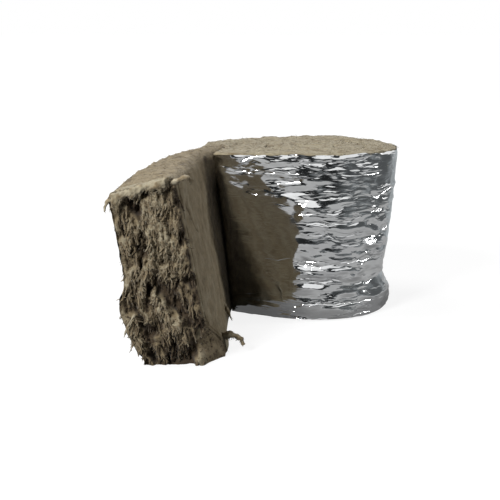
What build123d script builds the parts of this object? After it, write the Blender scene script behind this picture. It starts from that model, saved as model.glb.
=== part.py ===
"""A foil-faced mineral wool mat wound into a roll that stands on end, with its free end
peeled open towards the front.

Millimetres, +Z up. The floor is Z 0, and the origin is the middle of the footprint. While
it is drawn, the winding axis of the back halves is the origin: the roll lies round it, and
the free end runs from the roll's left side towards -Y.
"""
from build123d import *
from math import acos, atan2, degrees
from numpy import interp
import os

# The mat
strip_width = 150.0  # edge to edge, which is the height of the standing roll
free_thickness = 50.0  # wool that nothing presses
rolled_thickness = 28.5  # wool squeezed between the turns
edge_bevel = 4.0  # the wool's cut edges, worn back along its bare face

# The facing, glued to the outer face of the mat
foil_thickness = 0.2
glue_line = 0.25  # between the foil and the wool
foil_setback = 1.2  # bare wool along each edge of the strip

# The winding: half turns about two centres
half_turns = 6
core_radius = 17.0  # of the first one, where the strip's crushed start fills the middle
turn_clearance = 0.3  # between a turn's foil and the wool of the turn outside it

# The swelling beside the free end, where nothing holds the roll's front left any more
bulge_reach = 44.0  # how far forward the swollen turn leans on the free end, along the floor
bulge_front_gap = 3.05  # how far short of the roll's front its corner stays at the upper edge
bulge_forward_shares = (0.0, 0.09, 0.32, 0.64, 1.0)  # of the way between, up the roll
bulge_lean_share = 0.78  # of the way that the free end has moved off to the left by there
bulge_rounding = 9.0  # of its corner

# The waist, where the roll's right side is drawn in above the floor
waist_depth = 12.5
waist_rise_shares = (0.0, 0.22, 0.48, 0.74, 1.0)  # places up the roll
drawn_in_shares = (0.48, 1.0, 0.56, 0.22, 0.0)

# The free end, from where it leaves the roll
tail_length = 233.0
tail_splay_top = 54.0  # how far the end stands out to the left, at the upper edge
tail_splay_bottom = 27.5  # and along the floor
top_pinch = 8.0  # how much thinner it stays along the upper edge, beside the swollen turn
end_droop = 15.0  # how far the outer upper corner of the cut end sags
end_overhang = 12.0  # how far the cut end's upper edge leans forward
end_belly = 11.0  # how far its lower part swells out to the left
station_shares = (0.0, 0.14, 0.3, 0.55, 0.8, 1.0)  # places along the tail
splay_top_shares = (0.0, 0.1, 0.33, 0.56, 0.79, 1.0)
splay_bottom_shares = (0.0, 0.05, 0.16, 0.4, 0.68, 1.0)
swelling_shares = (0.0, 0.04, 0.15, 0.5, 0.85, 1.0)  # of the way back to free thickness
pinch_shares = (0.0, 0.75, 1.0, 0.85, 0.6, 0.2)  # of the squeeze at its upper edge
droop_shares = (0.0, 0.006, 0.03, 0.12, 0.34, 1.0)
overhang_shares = (0.0, 0.0, 0.0, 0.1, 0.5, 1.0)
belly_shares = (0.0, 0.0, 0.0, 0.0, 0.12, 1.0)
belly_rise_shares = (0.0, 0.12, 0.3, 0.5, 0.7, 1.0)  # places up the swelling's outline
belly_reach_shares = (0.0, 0.6, 1.0, 0.3, 0.1, 0.0)

facing_thickness = foil_thickness + glue_line
turn_pitch = rolled_thickness + facing_thickness + turn_clearance
front_centre = turn_pitch / 2  # how far right of the back halves' centre the front halves turn
last_front = half_turns - 2  # the outermost half turn at the front
last_back = half_turns - 1  # and at the back, which the free end leaves


def outer_radius(half_turn):
    """The foil's outer radius on a half turn, counted from 0 at the core."""
    return core_radius + half_turn * turn_pitch / 2


def turned_half(section, half_turn):
    """Turns a section, drawn from radius 0 along +X, round its half turn's own centre."""
    if half_turn % 2 == last_back % 2:
        return revolve(section, Axis.Z, 180)
    return Pos(front_centre, 0, 0) * Rot(0, 0, 180) * revolve(section, Axis.Z, 180)


def strip_section(inner, outer, bottom, top):
    """A strip's section in the XZ plane, from one radius to another."""
    box = Pos((inner + outer) / 2, (bottom + top) / 2) * Rectangle(outer - inner, top - bottom)
    return Plane.XZ * box


def wool_half(half_turn):
    outer = outer_radius(half_turn) - facing_thickness
    inner = max(outer - rolled_thickness, 0)
    section = strip_section(inner, outer, 0, strip_width)
    if inner:
        section = chamfer(section.vertices().sort_by(Axis.X)[:2], edge_bevel)
    return turned_half(section, half_turn)


def foil_half(half_turn):
    outer = outer_radius(half_turn)
    bottom, top = foil_setback, strip_width - foil_setback
    return turned_half(strip_section(outer - foil_thickness, outer, bottom, top), half_turn)


def along_tail(reach, shares):
    return float(interp(reach / tail_length, station_shares, shares))


def tail_drift(reach, rise):
    """How far left of its start the free end's inner face is, at a share of the height."""
    low = tail_splay_bottom * along_tail(reach, splay_bottom_shares)
    high = tail_splay_top * along_tail(reach, splay_top_shares)
    high = high + top_pinch * along_tail(reach, pinch_shares)
    swelling = (free_thickness - rolled_thickness) * along_tail(reach, swelling_shares)
    return low + (high - low) * rise - swelling


def drawn_in(height):
    """How far in the roll's right side is at one height."""
    return waist_depth * float(interp(height / strip_width, waist_rise_shares, drawn_in_shares))


def front_plan(height, proud):
    """What the outermost turn's front half covers at one height, with all that is inside it.

    On the left it is swollen: its side leans on the free end as far as a corner, and from
    there the strip runs taut to where it touches the roll's round front. Proud is how far
    the outline stands outside the wool's own outer face.
    """
    rise = height / strip_width
    wool_radius = outer_radius(last_front) - facing_thickness
    middle = Vector(front_centre, 0)
    side = middle - Vector(wool_radius, 0)
    forward_share = float(interp(rise, waist_rise_shares, bulge_forward_shares))
    reach = bulge_reach + (wool_radius - bulge_front_gap - bulge_reach) * forward_share
    corner = Vector(side.X - bulge_lean_share * tail_drift(reach, rise), -reach)
    to_corner = corner - middle
    touching = degrees(atan2(-to_corner.X, reach) - acos(wool_radius / to_corner.length))
    outward = Vector(0, -1).rotate(Axis.Z, -touching)

    along_side = (corner - side).normalized()
    along_front = (corner - middle - outward * wool_radius).normalized()
    side = side - Vector(proud, 0)
    touch = middle + outward * (wool_radius + proud)
    side_length = (touch - side).cross(along_front).Z / along_side.cross(along_front).Z
    corner = side + along_side * side_length
    half_width = wool_radius + proud - drawn_in(height)
    edges = (
        Line(side, corner),
        Line(corner, touch),
        CenterArc(middle, wool_radius + proud, 270 - touching, touching),
        EllipticalCenterArc(middle, half_width, wool_radius + proud, 270, arc_size=90),
        Line(middle + Vector(half_width, 0), side),
    )
    plan = make_face(edges)
    plan = fillet(plan.vertices().sort_by_distance(corner)[0], bulge_rounding + proud)
    return Pos(0, 0, height) * plan


def back_plan(height, proud):
    """The same for the back half of the outermost turn."""
    radius = outer_radius(last_back) - facing_thickness + proud
    half_width = radius - drawn_in(height)
    edges = (
        EllipticalCenterArc((0, 0), half_width, radius, 0, arc_size=90),
        CenterArc((0, 0), radius, 90, 90),
        Line((-radius, 0), (half_width, 0)),
    )
    return Pos(0, 0, height) * make_face(edges)


def block(plan, bottom, top, proud):
    heights = [min(max(share * strip_width, bottom), top) for share in waist_rise_shares]
    return loft([plan(height, proud) for height in heights], ruled=True)


def outer_wool(plan, half_turn, centre):
    """The outermost turn's wool on one side of the roll, wound round the turn inside it."""
    inner = outer_radius(half_turn) - facing_thickness - rolled_thickness
    hollow = (
        (0, 0),
        (inner + edge_bevel, 0),
        (inner, edge_bevel),
        (inner, strip_width - edge_bevel),
        (inner + edge_bevel, strip_width),
        (0, strip_width),
    )
    hollow = revolve(Plane.XZ * make_face(Polyline(*hollow, close=True)), Axis.Z)
    return block(plan, 0, strip_width, 0) - Pos(centre, 0, 0) * hollow


def outer_foil(plan):
    bottom, top = foil_setback, strip_width - foil_setback
    return block(plan, bottom, top, facing_thickness) - block(plan, bottom, top, glue_line)


class TailStation:
    """The mat's section at one place along the tail, in the XZ plane of that place."""

    def __init__(self, number):
        self.behind = -tail_length * station_shares[number]
        swelling = (free_thickness - rolled_thickness) * swelling_shares[number]
        self.thickness = rolled_thickness + swelling
        self.upper_thickness = self.thickness - top_pinch * pinch_shares[number]
        root = -(outer_radius(half_turns - 1) - facing_thickness)
        self.outer_low = root - tail_splay_bottom * splay_bottom_shares[number]
        self.outer_high = root - tail_splay_top * splay_top_shares[number]
        self.outer_height = strip_width - end_droop * droop_shares[number]
        self.overhang = end_overhang * overhang_shares[number]
        self.belly = end_belly * belly_shares[number]

    def placed(self, flat):
        """Stands a flat drawing up at the station, leaning forward by the overhang."""
        upper = Vector(0, -self.overhang, strip_width)
        plane = Plane(origin=(0, self.behind, 0), x_dir=(1, 0, 0), z_dir=Vector(1, 0, 0).cross(upper))
        return plane * flat

    def outer_curve(self, setback, proud):
        """The outer face's outline from below, short of both edges and proud of the wool."""
        points = []
        for share in belly_rise_shares:
            height = min(max(share * self.outer_height, setback), self.outer_height - setback)
            rise = height / self.outer_height
            straight = self.outer_low + (self.outer_high - self.outer_low) * rise
            belly = self.belly * float(interp(rise, belly_rise_shares, belly_reach_shares))
            points.append((straight - belly - proud, height))
        return Spline(*points)

    def wool(self):
        outer = self.outer_curve(0, 0)
        bare = Polyline(
            outer @ 0,
            (self.outer_low + self.thickness, 0),
            (self.outer_high + self.upper_thickness, strip_width),
            outer @ 1,
        )
        outline = make_face([outer, *bare.edges()])
        bare_corners = [outline.vertices().sort_by_distance(corner)[0] for corner in bare.vertices()[1:3]]
        return self.placed(chamfer(bare_corners, edge_bevel))

    def foil(self):
        """The facing's section, along the outer face but for a bare margin at each edge."""
        glued = self.outer_curve(foil_setback, glue_line)
        shown = self.outer_curve(foil_setback, facing_thickness)
        return self.placed(make_face([glued, shown, Line(glued @ 0, shown @ 0), Line(glued @ 1, shown @ 1)]))


stations = [TailStation(number) for number in range(len(station_shares))]
wool_tail = loft([station.wool() for station in stations])
foil_tail = loft([station.foil() for station in stations])
inner_turns = range(last_front)
wool_mat = wool_tail + [outer_wool(front_plan, last_front, front_centre)]
wool_mat = wool_mat + [outer_wool(back_plan, last_back, 0)] + [wool_half(k) for k in inner_turns]
foil_facing = foil_tail + [outer_foil(front_plan), outer_foil(back_plan)]
foil_facing = foil_facing + [foil_half(k) for k in inner_turns]

footprint = wool_mat.bounding_box()
to_footprint = Pos(-footprint.center().X, -footprint.center().Y, 0)

os.makedirs("parts", exist_ok=True)
export_step(to_footprint * wool_mat, "parts/wool_mat.step")
export_step(to_footprint * foil_facing, "parts/foil_facing.step")
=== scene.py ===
"""A foil-faced mineral wool mat in a roll: matted wool, a torn cut end and crinkled foil.

Metres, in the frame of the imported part. Lengths are written in millimetres and brought to
metres by MM. The strip is followed along its length, and every piece is laid on that strip.
"""
import math

import bpy
import numpy as np
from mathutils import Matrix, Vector


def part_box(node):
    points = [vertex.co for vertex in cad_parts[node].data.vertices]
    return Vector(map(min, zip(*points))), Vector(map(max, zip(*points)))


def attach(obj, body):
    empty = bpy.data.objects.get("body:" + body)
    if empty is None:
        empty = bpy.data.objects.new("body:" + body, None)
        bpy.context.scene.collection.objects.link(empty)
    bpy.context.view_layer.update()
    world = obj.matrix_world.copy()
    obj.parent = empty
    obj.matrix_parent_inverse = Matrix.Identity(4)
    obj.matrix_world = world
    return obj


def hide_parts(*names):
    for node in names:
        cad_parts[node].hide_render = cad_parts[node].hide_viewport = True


MM = 0.001
PHOTO_SIZE = 500  # pixels, both ways

# The strip, as the part's source has it
STRIP_WIDTH = 150.0
FREE_THICKNESS = 50.0
ROLLED_THICKNESS = 28.5
FACING = 0.45  # foil and glue line
TURN_CLEARANCE = 0.3
TURN_PITCH = ROLLED_THICKNESS + FACING + TURN_CLEARANCE
HALF_TURNS = 6
CORE_RADIUS = 17.0
CORE_HOLLOW = 0.3  # radius of the pinhole in the innermost half turn, whose points would meet
FRONT_CENTRE = TURN_PITCH / 2

# The swollen quarter at the front left, whose corner is a little further forward low down than
# in the part's source, as the photograph's reflections show it
BULGE_REACH = 44.0  # how far forward its corner is along the floor
BULGE_FORWARD_TOP = 28.0  # how much further forward at the upper edge
BULGE_LEAN_SHARE = 0.78  # of the way that the free end has moved off to the left by there
BULGE_ROUNDING = 9.0
BULGE_RISES = (0.0, 0.22, 0.48, 0.74, 1.0)
BULGE_FORWARD_SHARES = (0.0, 0.26, 0.42, 0.68, 1.0)
BULGE_LEVELS = np.linspace(0.0, 1.0, 9)  # heights at which its outline is worked out

# The free end
TAIL_LENGTH = 233.0
TAIL_SPLAY_TOP = 54.0
TAIL_SPLAY_BOTTOM = 27.5
TOP_PINCH = 8.0
END_DROOP = 15.0
END_OVERHANG = 12.0
END_BELLY = 11.0
TORN_CORNER = 30.0  # how far back the lower inner corner is torn away
INNER_FOOT = 10.0  # how far that corner spreads over the floor
STATION_SHARES = (0.0, 0.14, 0.3, 0.55, 0.8, 1.0)
SPLAY_TOP_SHARES = (0.0, 0.1, 0.33, 0.56, 0.79, 1.0)
SPLAY_BOTTOM_SHARES = (0.0, 0.05, 0.16, 0.4, 0.68, 1.0)
SWELLING_SHARES = (0.0, 0.04, 0.15, 0.5, 0.85, 1.0)
PINCH_SHARES = (0.0, 0.75, 1.0, 0.85, 0.6, 0.2)
DROOP_SHARES = (0.0, 0.0, 0.02, 0.1, 0.32, 1.0)
OVERHANG_SHARES = (0.0, 0.0, 0.0, 0.1, 0.5, 1.0)
BELLY_SHARES = (0.0, 0.0, 0.0, 0.03, 0.25, 1.0)
BELLY_RISES = (0.0, 0.04, 0.1, 0.16, 0.23, 0.32, 0.4, 0.46, 0.54, 0.72, 1.0)
BELLY_REACHES = (0.1, 0.15, 0.52, 0.74, 0.9, 1.02, 0.8, 0.35, 0.15, 0.02, 0.0)

# The waist, where the roll's right side is drawn in above the floor
WAIST_HEIGHTS = (0.0, 3.0, 10.0, 17.0, 25.0, 33.0, 40.0, 56.0, 71.0, 87.0, 102.0, 117.0, 133.0, 148.0)
WAIST_DEPTHS = (9.0, 7.5, 6.0, 6.2, 9.8, 12.5, 11.6, 8.8, 7.0, 5.0, 3.2, 2.3, 1.0, 0.0)

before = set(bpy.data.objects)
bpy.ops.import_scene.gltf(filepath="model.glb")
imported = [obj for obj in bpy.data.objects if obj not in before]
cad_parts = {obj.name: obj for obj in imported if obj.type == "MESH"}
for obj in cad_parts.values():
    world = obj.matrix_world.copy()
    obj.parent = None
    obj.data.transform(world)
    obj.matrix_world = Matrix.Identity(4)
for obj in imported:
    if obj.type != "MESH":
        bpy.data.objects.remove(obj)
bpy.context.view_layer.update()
wool_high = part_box("wool_mat")[1]
LAST_RADIUS = CORE_RADIUS + (HALF_TURNS - 1) * TURN_PITCH / 2
AXIS_X = wool_high[0] / MM - (LAST_RADIUS - FACING)
AXIS_Y = wool_high[1] / MM - (LAST_RADIUS - FACING)


def to_frame(points):
    """From the strip's own millimetres, round the winding axis, to the frame's metres."""
    return (np.asarray(points, float) + (AXIS_X, AXIS_Y, 0.0)) * MM


# Noise


class Noise:
    """Smooth random values at points in space, the same for the same seed."""

    SIZE = 256
    SHIFT = 137.0  # where in the table of values the origin falls

    def __init__(self, seed):
        random = np.random.default_rng(seed)
        self.order = random.permutation(self.SIZE)
        self.values = random.uniform(-1.0, 1.0, self.SIZE)

    def corner(self, x, y, z):
        mask = self.SIZE - 1
        a = self.order[x & mask]
        b = self.order[(a + y) & mask]
        return self.values[self.order[(b + z) & mask]]

    def __call__(self, points, size):
        """Points in millimetres, and the size of one lump, one number or three."""
        p = np.asarray(points, float) / np.asarray(size, float) + self.SHIFT
        cell = np.floor(p).astype(int)
        f = p - cell
        f = f * f * f * (f * (f * 6.0 - 15.0) + 10.0)
        x, y, z = cell[..., 0], cell[..., 1], cell[..., 2]
        fx, fy, fz = f[..., 0], f[..., 1], f[..., 2]
        total = 0.0
        for dx in (0, 1):
            for dy in (0, 1):
                for dz in (0, 1):
                    weight = (fx if dx else 1 - fx) * (fy if dy else 1 - fy) * (fz if dz else 1 - fz)
                    total = total + weight * self.corner(x + dx, y + dy, z + dz)
        return total


def layered(noise, points, size, octaves, fade=0.5, shift=31.7):
    """Noise on top of finer noise, each layer half the size of the last and shifted from it."""
    size = np.asarray(size, float)
    total, strength, reach = 0.0, 1.0, 0.0
    for octave in range(octaves):
        total = total + strength * noise(np.asarray(points) + shift * octave, size)
        reach += strength
        size, strength = size / 2, strength * fade
    return total / reach


def ridged(noise, points, size, octaves, fade=0.5):
    """The same, with sharp crests at 1 and rounded troughs towards 0."""

    def crests(places, lump):
        return 1 - np.abs(noise(places, lump)) * 1.6

    return np.clip(layered(crests, points, size, octaves, fade, 17.3), 0.0, 1.0)


def step_between(low, high, value):
    """A smooth step from 0 at low to 1 at high, which may be the smaller of the two."""
    share = np.clip((value - low) / (high - low), 0.0, 1.0)
    return share * share * (3 - 2 * share)


def near_place(points, place, reach):
    """1 at a place on the plan, fading to 0 over a reach from it."""
    return np.exp(-((points[..., 0] - place[0]) ** 2 + (points[..., 1] - place[1]) ** 2) / reach**2)


# The strip


def outer_radius(half_turn):
    return CORE_RADIUS + half_turn * TURN_PITCH / 2


def on_circle(centre_x, radius, angle):
    return np.stack([centre_x + radius * np.cos(angle), radius * np.sin(angle)], axis=-1)


def tail_drift(reach, rise):
    """How far left of its start the free end's inner face is, at a share of the height."""
    share = reach / TAIL_LENGTH
    low = TAIL_SPLAY_BOTTOM * np.interp(share, STATION_SHARES, SPLAY_BOTTOM_SHARES)
    high = TAIL_SPLAY_TOP * np.interp(share, STATION_SHARES, SPLAY_TOP_SHARES)
    high += TOP_PINCH * np.interp(share, STATION_SHARES, PINCH_SHARES)
    swelling = (FREE_THICKNESS - ROLLED_THICKNESS) * np.interp(share, STATION_SHARES, SWELLING_SHARES)
    return low + (high - low) * rise - swelling


def swollen_radius(angle, rise):
    """How far the swollen quarter's wool reaches from the front centre, by direction."""
    wool_radius = outer_radius(HALF_TURNS - 2) - FACING
    centre, side = np.array([FRONT_CENTRE, 0.0]), np.array([FRONT_CENTRE - wool_radius, 0.0])
    reach = BULGE_REACH + BULGE_FORWARD_TOP * np.interp(rise, BULGE_RISES, BULGE_FORWARD_SHARES)
    corner = np.array([side[0] - BULGE_LEAN_SHARE * tail_drift(reach, rise), -reach])
    distance = np.linalg.norm(corner - centre)
    touching = math.atan2(centre[0] - corner[0], reach) - math.acos(wool_radius / distance)
    sweep = np.linspace(touching, 0.0, 40)
    arc = centre - wool_radius * np.column_stack([np.sin(sweep), np.cos(sweep)])
    wall = side + np.linspace(0.0, 1.0, 30)[:, None] * (corner - side)
    taut = corner + np.linspace(0.0, 1.0, 40)[1:, None] * (arc[0] - corner)
    outline = np.concatenate([wall, taut, arc[1:]])
    near = np.linalg.norm(outline - corner, axis=1)
    kernel = np.exp(-np.linspace(-1.6, 1.6, 11) ** 2)
    kernel /= kernel.sum()
    padded = np.pad(outline, ((5, 5), (0, 0)), mode="edge")
    soft = np.stack([np.convolve(padded[:, axis], kernel, mode="valid") for axis in (0, 1)], axis=-1)
    blend = step_between(BULGE_ROUNDING * 2.2, BULGE_ROUNDING * 0.8, near)[:, None]
    outline = outline * (1 - blend) + soft * blend
    from_centre = outline - (FRONT_CENTRE, 0.0)
    directions = np.arctan2(-from_centre[:, 1], -from_centre[:, 0])
    order = np.argsort(directions)
    reach = np.linalg.norm(from_centre, axis=1)
    return np.interp(angle, directions[order], reach[order])


def smooth_table(share, places, table):
    """Reads a table on one smooth curve through its entries."""
    x, y = np.asarray(places), np.asarray(table)
    slope = np.gradient(y, x)
    i = np.clip(np.searchsorted(x, share, side="right") - 1, 0, len(x) - 2)
    width = x[i + 1] - x[i]
    t = (share - x[i]) / width
    return (
        (2 * t**3 - 3 * t**2 + 1) * y[i]
        + (t**3 - 2 * t**2 + t) * width * slope[i]
        + (3 * t**2 - 2 * t**3) * y[i + 1]
        + (t**3 - t**2) * width * slope[i + 1]
    )


class Sections:
    """The mat's cross-sections, place by place, each by its four long edges."""

    def __init__(self, inner_low, outer_low, inner_high, outer_high, behind, turn, swell=None):
        self.inner_low, self.outer_low = inner_low, outer_low
        self.inner_high, self.outer_high = inner_high, outer_high
        self.behind, self.turn = behind, turn
        self.swell = np.zeros((len(behind), len(BULGE_LEVELS))) if swell is None else swell

    def at(self, a, b):
        """Points of each section: a from the inner face to the outer, b from the floor up."""
        low = self.inner_low[:, None] + a[..., None] * (self.outer_low - self.inner_low)[:, None]
        high = self.inner_high[:, None] + a[..., None] * (self.outer_high - self.inner_high)[:, None]
        points = low + b[..., None] * (high - low)
        level = np.clip(b, 0.0, 1.0) * (len(BULGE_LEVELS) - 1)
        below = np.minimum(level.astype(int), len(BULGE_LEVELS) - 2)
        swell = np.take_along_axis(self.swell, below, axis=1) * (below + 1 - level)
        swell = swell + np.take_along_axis(self.swell, below + 1, axis=1) * (level - below)
        outward = self.outer_low - self.inner_low
        outward = outward / np.linalg.norm(outward, axis=1, keepdims=True)
        points += (a * swell)[..., None] * outward[:, None]
        share = np.clip(self.behind / TAIL_LENGTH, 0.0, 1.0)
        belly = END_BELLY * smooth_table(share, STATION_SHARES, BELLY_SHARES)[:, None]
        points[..., 0] -= a * belly * np.interp(b, BELLY_RISES, BELLY_REACHES)
        torn = TORN_CORNER * step_between(0.42, 0.0, a) ** 1.7 * step_between(0.26, 0.10, b)
        points[..., 1] += torn * step_between(0.55, 1.0, share)[:, None]
        foot = INNER_FOOT * (1 - a) ** 2 * step_between(0.20, 0.03, b)
        points[..., 0] += foot * (np.clip(share - 0.5, 0.0, 0.5)[:, None] * 2) ** 1.5
        waist = np.interp(points[..., 2], WAIST_HEIGHTS, WAIST_DEPTHS)
        points[..., 0] -= waist * np.clip(points[..., 0] / LAST_RADIUS, 0.0, 1.0) ** 1.3
        return points

    def __add__(self, other):
        mine, theirs = vars(self), vars(other)
        return Sections(*(np.concatenate([mine[key], theirs[key]]) for key in mine))

    def __getitem__(self, chosen):
        return Sections(*(values[chosen] for values in vars(self).values()))


def wound_sections(half_turn, step):
    """The sections along one half turn, about a step apart at its outer face."""
    at_front = half_turn % 2 == 0
    centre = FRONT_CENTRE if at_front else 0.0
    outer = outer_radius(half_turn) - FACING
    inner = max(outer - ROLLED_THICKNESS, CORE_HOLLOW)
    count = max(int(math.pi * outer / step), 8)
    angle = (math.pi if at_front else 0.0) + np.linspace(0.0, math.pi, count, endpoint=False)
    low = high = np.full(count, outer)
    swell = None
    if half_turn == HALF_TURNS - 2:
        turned = angle - math.pi
        reach = np.stack([swollen_radius(turned, rise) for rise in BULGE_LEVELS], axis=1)
        reach = np.where((turned < math.pi / 2)[:, None], reach, outer)
        low, high = reach[:, 0], reach[:, -1]
        swell = reach - low[:, None] - BULGE_LEVELS * (high - low)[:, None]
    edges = []
    for radius, height in ((inner, 0.0), (low, 0.0), (inner, STRIP_WIDTH), (high, STRIP_WIDTH)):
        edges.append(np.column_stack([on_circle(centre, radius, angle), np.full(count, height)]))
    return Sections(*edges, np.full(count, -1.0), np.full(count, half_turn), swell)


def tail_sections(behind):
    """The free end's sections, at distances from where it leaves the roll."""
    share = behind / TAIL_LENGTH
    root = -(LAST_RADIUS - FACING)
    swelling = smooth_table(share, STATION_SHARES, SWELLING_SHARES)
    thickness = ROLLED_THICKNESS + (FREE_THICKNESS - ROLLED_THICKNESS) * swelling
    low = root - TAIL_SPLAY_BOTTOM * smooth_table(share, STATION_SHARES, SPLAY_BOTTOM_SHARES)
    high = root - TAIL_SPLAY_TOP * smooth_table(share, STATION_SHARES, SPLAY_TOP_SHARES)
    upper_thickness = thickness - TOP_PINCH * smooth_table(share, STATION_SHARES, PINCH_SHARES)
    droop = END_DROOP * smooth_table(share, STATION_SHARES, DROOP_SHARES)
    overhang = END_OVERHANG * smooth_table(share, STATION_SHARES, OVERHANG_SHARES)
    outer_overhang = overhang * (STRIP_WIDTH - droop) / STRIP_WIDTH
    zero = np.zeros_like(share)
    return Sections(
        np.column_stack([low + thickness, -behind, zero]),
        np.column_stack([low, -behind, zero]),
        np.column_stack([high + upper_thickness, -behind - overhang, zero + STRIP_WIDTH]),
        np.column_stack([high, -behind - outer_overhang, STRIP_WIDTH - droop]),
        behind,
        np.full(len(behind), HALF_TURNS),
    )


def whole_strip(turn_step, tail_step, tail_end=TAIL_LENGTH):
    """The sections from the core to the free end, or to a place along it."""
    strip = wound_sections(0, turn_step)
    for half_turn in range(1, HALF_TURNS):
        strip = strip + wound_sections(half_turn, turn_step)
    return strip + tail_sections(np.linspace(0.0, tail_end, int(tail_end / tail_step) + 1))


# Meshes


def grid_faces(rows, columns, closed=False):
    """The quads of a grid whose points run along each row in turn."""
    last = columns if closed else columns - 1
    r, c = np.meshgrid(np.arange(rows - 1), np.arange(last), indexing="ij")
    r, c = r.ravel(), c.ravel()
    n = (c + 1) % columns
    return np.stack([r * columns + c, r * columns + n, (r + 1) * columns + n, (r + 1) * columns + c], axis=1)


def grid_normals(points, closed=False):
    """The outward normals of a grid of points, rows by columns."""
    along = np.gradient(points, axis=0)
    if closed:
        across = (np.roll(points, -1, axis=1) - np.roll(points, 1, axis=1)) / 2
    else:
        across = np.gradient(points, axis=1)
    normal = np.cross(across, along)
    return normal / np.maximum(np.linalg.norm(normal, axis=-1, keepdims=True), 1e-9)


def in_scene(name, data):
    thing = bpy.data.objects.new(name, data)
    bpy.context.collection.objects.link(thing)
    return thing


def new_piece(name, points, faces, material, **attributes):
    """A mesh from points in the strip's millimetres, with a value at each for the shading."""
    mesh = bpy.data.meshes.new(name)
    mesh.from_pydata(to_frame(points).tolist(), [], [list(map(int, face)) for face in faces])
    for attribute, values in attributes.items():
        layer = mesh.attributes.new(attribute, "FLOAT", "POINT")
        layer.data.foreach_set("value", np.clip(np.asarray(values, float).ravel(), 0, 1))
    mesh.shade_smooth()
    mesh.validate()
    mesh.materials.append(material)
    return in_scene(name, mesh)


# Node trees


class Tree:
    """A node tree, with short calls to add to it."""

    def __init__(self, tree):
        self.tree = tree

    def add(self, kind, settings=(), **inputs):
        node = self.tree.nodes.new(kind)
        for key, value in dict(settings).items():
            setattr(node, key, value)
        for key, value in inputs.items():
            self.feed(node.inputs[key.replace("_", " ")], value)
        return node

    def feed(self, socket, value):
        if isinstance(value, bpy.types.NodeSocket):
            self.tree.links.new(value, socket)
        else:
            socket.default_value = value

    def math(self, operation, first, second=0.0, clamp=False):
        node = self.add("ShaderNodeMath", {"operation": operation, "use_clamp": clamp})
        self.feed(node.inputs[0], first)
        self.feed(node.inputs[1], second)
        return node.outputs[0]

    def ranged(self, value, low, high, at_low, at_high):
        """A smooth step from one value to another."""
        node = self.add("ShaderNodeMapRange", {"interpolation_type": "SMOOTHSTEP"}, Value=value)
        limits = {"From Min": low, "From Max": high, "To Min": at_low, "To Max": at_high}
        for key, given in limits.items():
            node.inputs[key].default_value = given
        return node.outputs["Result"]

    def vector(self, operation, first, second):
        node = self.add("ShaderNodeVectorMath", {"operation": operation})
        self.feed(node.inputs[0], first)
        self.feed(node.inputs[3 if operation == "SCALE" else 1], second)
        return node.outputs[0]

    def length(self, vector):
        return self.add("ShaderNodeVectorMath", {"operation": "LENGTH"}, Vector=vector).outputs["Value"]

    def part(self, vector, axis):
        return self.add("ShaderNodeSeparateXYZ", Vector=vector).outputs[axis]


class Shading(Tree):
    """A material's nodes, round its own shader."""

    def __init__(self, name):
        self.material = bpy.data.materials.new(name)
        self.material.use_nodes = True
        super().__init__(self.material.node_tree)
        self.shader = self.tree.nodes["Principled BSDF"]
        self.place = self.add("ShaderNodeTexCoord").outputs["Object"]

    def stretched(self, place, scale):
        return self.add("ShaderNodeMapping", Vector=place, Scale=scale).outputs["Vector"]

    def noise(self, place, scale, detail=3.0, roughness=0.5, distortion=0.0):
        node = self.add(
            "ShaderNodeTexNoise", Vector=place, Scale=scale, Detail=detail, Roughness=roughness,
            Distortion=distortion,
        )
        return node.outputs["Fac"]

    def folds(self, place, scale):
        """Straight-edged dents and rises in uneven cells, as creased foil has them."""
        cells = self.stretched(place, scale)
        edges = self.add("ShaderNodeTexVoronoi", {"feature": "DISTANCE_TO_EDGE"}, Vector=cells, Scale=1.0)
        chance = self.add("ShaderNodeTexVoronoi", Vector=cells, Scale=1.0).outputs["Color"]
        side = self.math("SUBTRACT", self.part(chance, "X"), 0.5)
        return self.math("MULTIPLY", edges.outputs["Distance"], self.math("MULTIPLY", side, 2.0))

    def ramp(self, value, *stops):
        node = self.add("ShaderNodeValToRGB", Fac=value)
        elements = node.color_ramp.elements
        while len(elements) < len(stops):
            elements.new(0.5)
        for element, (position, colour) in zip(elements, stops):
            element.position, element.color = position, (*colour, 1.0)
        return node.outputs["Color"]

    def times(self, first, second, share=1.0):
        """One colour multiplied by another, as far as the share says."""
        node = self.add("ShaderNodeMix", {"data_type": "RGBA", "blend_type": "MULTIPLY"})
        node.inputs["Factor"].default_value = share
        self.feed(node.inputs[6], first)
        self.feed(node.inputs[7], second)
        return node.outputs[2]

    def bump(self, height, distance):
        bumped = self.add("ShaderNodeBump", Height=height, Distance=distance).outputs[0]
        self.feed(self.shader.inputs["Normal"], bumped)

    def attribute(self, name):
        return self.add("ShaderNodeAttribute", {"attribute_name": name}).outputs["Fac"]

    def set(self, **inputs):
        for key, value in inputs.items():
            self.feed(self.shader.inputs[key.replace("_", " ")], value)
        return self


WOOL_BRIGHT, WOOL_DARK = (0.37, 0.33, 0.235), (0.26, 0.225, 0.155)
STRAND_BRIGHT, STRAND_DARK = (0.40, 0.36, 0.27), (0.29, 0.25, 0.175)
# Shades along the fibres; painted shade, darker and browner, from the surface into a pit; shades over the
# foil
STREAKS = ((0.3, (0.70, 0.68, 0.66)), (0.5, (0.97, 0.97, 0.97)), (0.7, (1.15, 1.15, 1.13)))
PAINTED_SHADE_COLOURS = ((0.0, (1.0, 1.0, 1.0)), (0.4, (0.66, 0.59, 0.50)), (1.0, (0.15, 0.115, 0.09)))
SMEARS = ((0.35, (0.70, 0.71, 0.72)), (0.65, (0.80, 0.81, 0.81)))
COARSE_FOLDS, FINE_FOLDS = (28.0, 28.0, 170.0), (64.0, 64.0, 390.0)  # of the foil, in a metre
NICKS = (26.0, 26.0, 160.0)  # sharp dents in it, in a metre
FOLD_DEPTH = 0.0021


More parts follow.
